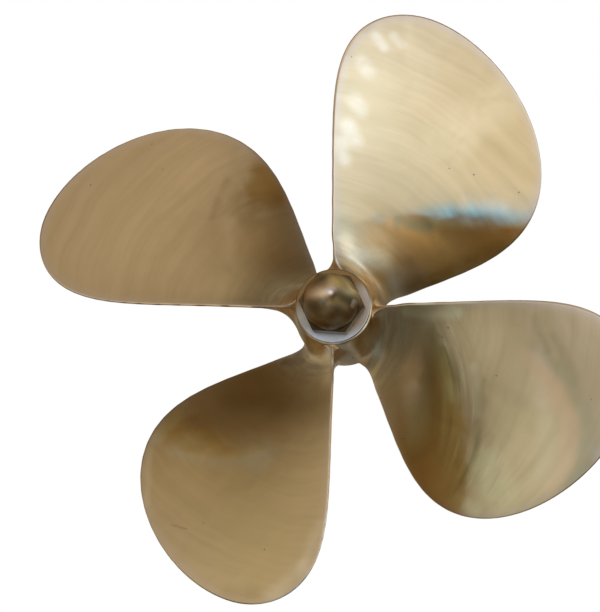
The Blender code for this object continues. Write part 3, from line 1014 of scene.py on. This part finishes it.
def nut_bronze():
    """Smooth, darker bronze with fine turning marks, painted shade at the foot of its dome and in the
    crevice at its base, and painted highlights and reflections as marks.
    """
    material, tree = new_material("nut_bronze")
    place, x, y, z, radius = place_parts(tree)
    along = joined(tree, times(tree, y, 900.0), radius, x)
    clouds = noise(tree, place, 60.0, 4.0, 0.6)
    shoulder = -(HUB_BACK + WASHER_THICKNESS + FIT_GAP + NUT_HEX_HEIGHT)
    rise = maths(tree, "ABSOLUTE", maths(tree, "SUBTRACT", y, shoulder - 0.002))
    crevice = ramp(tree, rise, 0.002, 0.007, 1.0, 0.0)
    right = ramp(tree, x, 0.012, 0.026)
    lower_right = times(tree, right, ramp(tree, z, 0.010, 0.020, 1.0, 0.0))
    elsewhere = ramp(tree, lower_right, 0.0, 1.0, 1.0, 0.0)
    # Painted shade: the dome's outer foot, save at the lower right, and the hexagon's corners
    foot = times(tree, ramp(tree, radius, 0.037, 0.043), elsewhere)
    foot = maths(tree, "MAXIMUM", foot, ramp(tree, radius, 0.0455, 0.0470, 0.0, 0.7))
    # Painted shade in the crevice at the dome's base, on its lower side
    shade = times(tree, crevice, ramp(tree, z, -0.010, 0.0, 0.8, 0.0))
    colour = blend(tree, ramp(tree, clouds, 0.35, 0.7), NUT_BRONZE, DEEP_NUT_BRONZE)
    # Painted highlights, reflections and dark shade on the dome, as marks
    colour = painted_light_and_wear_marks(tree, wandering_place(tree, place, 60.0, 0.003), colour, NUT_MARKS, 1.0)
    colour = blend(tree, times(tree, foot, 0.92), colour, NUT_FOOT_SHADE)
    colour = blend(tree, shade, colour, CREVICE_SHADE)
    rough = total_of(tree, ramp(tree, radius, 0.008, 0.026, 0.12, 0.44), times(tree, crevice, 0.15))
    connect(tree, colour, rough, noise(tree, along, 1.0), 0.000008)
    return material


# Lighter and darker tone of the shaft's, key's and washer's steel and of the seal's rubber,
# the steel's specks, and the painted bronze reflection on the washer
SHAFT_TONES = ((0.62, 0.57, 0.48), (0.48, 0.44, 0.37))
WASHER_TONES = ((0.86, 0.87, 0.86), (0.78, 0.80, 0.79))
RUBBER_TONES = ((0.020, 0.020, 0.021), (0.060, 0.058, 0.055))
SPECK = (0.12, 0.10, 0.09)
WARM_REFLECTION = (0.58, 0.52, 0.41)
BROWN_REFLECTION = (0.34, 0.21, 0.08)


def steel(name, tones, smooth, dull, marks_per_metre, bronze_reflection=0.0):
    """Turned steel: rings of fine marks, cloudy stain and specks, and a painted reflection of the bronze
    round it where asked.
    """
    material, tree = new_material(name)
    place, x, y, z, radius = place_parts(tree)
    rings = joined(tree, times(tree, radius, marks_per_metre), times(tree, y, marks_per_metre))
    clouds = noise(tree, place, 45.0, 5.0, 0.65)
    specks = noise(tree, place, 700.0)
    colour = blend(tree, ramp(tree, clouds, 0.35, 0.7), *tones)
    colour = blend(tree, ramp(tree, specks, 0.66, 0.74, 0.0, 0.4), colour, SPECK)
    if bronze_reflection:
        # Painted reflection of the bronze: least at the foot and most at the upper left
        warm = ramp(tree, z, -0.052, -0.030, 0.0, bronze_reflection)
        brown = ramp(tree, maths(tree, "MULTIPLY_ADD", x, -0.35, z), 0.0, 0.030, 0.0, bronze_reflection)
        colour = blend(tree, warm, colour, WARM_REFLECTION)
        colour = blend(tree, brown, colour, BROWN_REFLECTION)
    rough = ramp(tree, clouds, 0.3, 0.7, smooth, dull)
    connect(tree, colour, rough, noise(tree, rings, 1.0), 0.00002)
    return material


def seal_rubber():
    """Matte black rubber with a dusty bloom."""
    material, tree = new_material("seal_rubber")
    place = add(tree, "TexCoord").outputs["Object"]
    bloom = noise(tree, place, 90.0, 5.0, 0.65)
    colour = blend(tree, ramp(tree, bloom, 0.45, 0.75), *RUBBER_TONES)
    rough = ramp(tree, bloom, 0.3, 0.7, 0.55, 0.8)
    connect(tree, colour, rough, noise(tree, place, 1500.0), 0.00004, metallic=0.0)
    return material


# Camera, light and floor


def camera():
    """Camera at the photographed angle: a little to the right, looking a little up.

    At the blades' plane the shaft's axis is so many pixels across and down from the middle.
    """
    turn = 6.15
    rise = -11.0
    distance = 6.0
    frame_height = 612
    focal_pixels = 3701
    across = 37.5
    down = 7.9
    target = Vector((0, -BLADE_PLANE, 0))
    outward = Vector(toward(turn, rise))
    right = Vector((cos(radians(turn)), sin(radians(turn)), 0))
    upward = right.cross(-outward)
    eye = target + outward * distance
    aim = target + (upward * down - right * across) * (distance / focal_pixels)
    data = bpy.data.cameras.new("view")
    data.sensor_width = 36.0
    data.lens = data.sensor_width * focal_pixels / frame_height
    item = bpy.data.objects.new("view", data)
    back = (eye - aim).normalized()
    side = upward.cross(back).normalized()
    top = back.cross(side)
    item.matrix_world = Matrix.Translation(eye) @ Matrix((side, top, back)).transposed().to_4x4()
    bpy.context.scene.collection.objects.link(item)
    bpy.context.scene.camera = item


def toward(azimuth, height):
    """Direction from the object at an azimuth, 0 towards -Y and + to the right, and a height."""
    azimuth = radians(azimuth)
    height = radians(height)
    return (sin(azimuth) * cos(height), -cos(azimuth) * cos(height), sin(height))


# Round window: azimuth and height of its middle in degrees, cosine at its edge, softness
WINDOW = (43, 11)
WINDOW_EDGE = 0.66
WINDOW_SOFT = 0.035

# Soft lights of the studio: azimuth and height in degrees, spread in degrees, colour
ROOM_SHADE = (0.07, 0.04, 0.01)
WINDOW_LIGHTS = (
    ((46, 5), 17, (0.65, 0.90, 1.45)),
    ((30, -20), 31, (0.31, 0.22, 0.04)),
    ((71, 0), 18, (0.45, 0.54, 0.73)),
    ((46, -26), 29, (0.50, 0.72, 1.10)),
)
ROOM_LIGHTS = (
    ((100, 0), 22, (0.58, 0.85, 1.30)),
    ((111, -8), 9, (0.60, 0.51, 0.46)),
    ((-40, -23), 13, (0.40, 0.50, 0.60)),
    ((0, -30), 17, (0.83, 1.00, 1.40)),
    ((-44, -50), 18, (0.38, 0.46, 0.55)),
    ((-92, -33), 13, (0.12, 0.10, 0.09)),
    ((-126, -46), 31, (0.04, 0.09, 0.13)),
    ((-24, 17), 28, (0.58, 0.63, 0.70)),
    ((-71, 13), 26, (0.33, 0.34, 0.33)),
    ((-128, 2), 24, (0.37, 0.39, 0.36)),
    ((43, 41), 11, (0.17, 0.17, 0.18)),
    ((24, 59), 26, (0.37, 0.38, 0.40)),
    ((113, 82), 16, (0.20, 0.21, 0.21)),
    ((89, -29), 18, (0.45, 0.44, 0.41)),
    ((171, 27), 31, (0.36, 0.42, 0.42)),
    ((155, -43), 26, (0.17, 0.30, 0.43)),
    ((-169, -22), 30, (0.09, 0.05, 0.00)),
    ((-55, 44), 9, (0.12, 0.11, 0.08)),
    ((81, 56), 16, (0.09, 0.08, 0.06)),
    ((14, 22), 10, (1.25, 1.05, 1.15)),
    ((-22, -15), 8, (0.00, 0.30, 0.90)),
)

# Blue line just outside the window's lower rim
BLUE_LINE = (42, -40)
BLUE_SPREAD = 22
BLUE_COLOUR = (0.10, 0.70, 1.90)
BLUE_DROP = 0.012
BLUE_WIDTH = 0.02


def nearness_to(tree, direction, place):
    """Cosine of the angle between a direction and a place on the studio's sky."""
    return vector_maths(tree, "DOT_PRODUCT", direction, toward(*place))


def soft_light(tree, direction, place, spread):
    """Brightness of a round soft light in a direction."""
    tightness = 1 / (1 - cos(radians(spread)))
    nearness = nearness_to(tree, direction, place)
    return maths(tree, "EXPONENT", maths(tree, "MULTIPLY_ADD", nearness, tightness, -tightness))


def sum_lights(tree, direction, lights, total, shade=None):
    """Add soft lights to a total colour, all of them dimmed by a shade where there is one."""
    for place, spread, colour in lights:
        strength = soft_light(tree, direction, place, spread)
        if shade:
            strength = times(tree, strength, shade)
        total = vector_maths(tree, "ADD", total, scaled(tree, colour, strength))
    return total


def studio():
    """Soft lights all round for the bronze to mirror, on a plain white background."""
    world = bpy.data.worlds.new("studio")
    bpy.context.scene.world = world
    world.use_nodes = True
    tree = world.node_tree
    direction = add(tree, "TexCoord").outputs["Generated"]
    across = nearness_to(tree, direction, WINDOW)
    pane = ramp(tree, across, WINDOW_EDGE - WINDOW_SOFT, WINDOW_EDGE + WINDOW_SOFT)
    total = joined(tree, *ROOM_SHADE)
    total = sum_lights(tree, direction, WINDOW_LIGHTS, total, pane)
    total = sum_lights(tree, direction, ROOM_LIGHTS, total)
    off_line = maths(tree, "SUBTRACT", across, WINDOW_EDGE - BLUE_DROP)
    off_line = maths(tree, "DIVIDE", off_line, BLUE_WIDTH)
    squared = times(tree, off_line, off_line)
    line = maths(tree, "EXPONENT", times(tree, squared, -1.0))
    total = sum_lights(tree, direction, ((BLUE_LINE, BLUE_SPREAD, BLUE_COLOUR),), total, line)
    lit = tree.nodes["Background"]
    tree.links.new(total, lit.inputs["Color"])
    plain = add(tree, "Background", {"Color": (1, 1, 1, 1), "Strength": 1.0})
    seen = add(tree, "LightPath").outputs["Is Camera Ray"]
    mixed = add(tree, "MixShader", {0: seen, 1: lit.outputs[0], 2: plain.outputs[0]})
    tree.links.new(mixed.outputs[0], tree.nodes["World Output"].inputs["Surface"])


def floor():
    """A plain pale floor well below the propeller, which its bronze doesn't mirror."""
    half = 12.0
    drop = -1.6
    corners = [(-half, -half, drop), (half, -half, drop), (half, half, drop), (-half, half, drop)]
    piece = new_piece("floor", corners, [(0, 1, 2, 3)])
    material, tree = new_material("floor_white")
    pale = (0.85, 0.85, 0.85, 1)
    white = (1, 1, 1, 1)
    finish = {"Base Color": pale, "Roughness": 0.9, "Emission Color": white, "Emission Strength": 0.42}
    for name, value in finish.items():
        tree.nodes["Principled BSDF"].inputs[name].default_value = value
    piece.data.materials.append(material)
    piece.visible_glossy = False


def dress(piece, material, node):
    """Give a piece its material and let it stand for its solid."""
    piece.data.materials.clear()
    piece.data.materials.append(material)
    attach(piece, "root")
    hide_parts(node)


def build():
    """Make every piece."""
    bpy.context.scene.view_settings.view_transform = "Standard"
    camera()
    studio()
    floor()
    shaft_steel = steel("shaft_steel", SHAFT_TONES, 0.22, 0.36, 900.0)
    washer_steel = steel("washer_steel", WASHER_TONES, 0.30, 0.42, 700.0, bronze_reflection=1.0)
    dress(propeller_casting(), blade_bronze(), "propeller_casting")
    dress(domed_nut(), nut_bronze(), "domed_nut")
    dress(nut_washer(), washer_steel, "nut_washer")
    dress(tail_shaft(), shaft_steel, "tail_shaft")
    dress(hub_seal(), seal_rubber(), "hub_seal")
    for material_slot in bpy.data.objects["shaft_key"].material_slots:
        material_slot.material = shaft_steel


build()
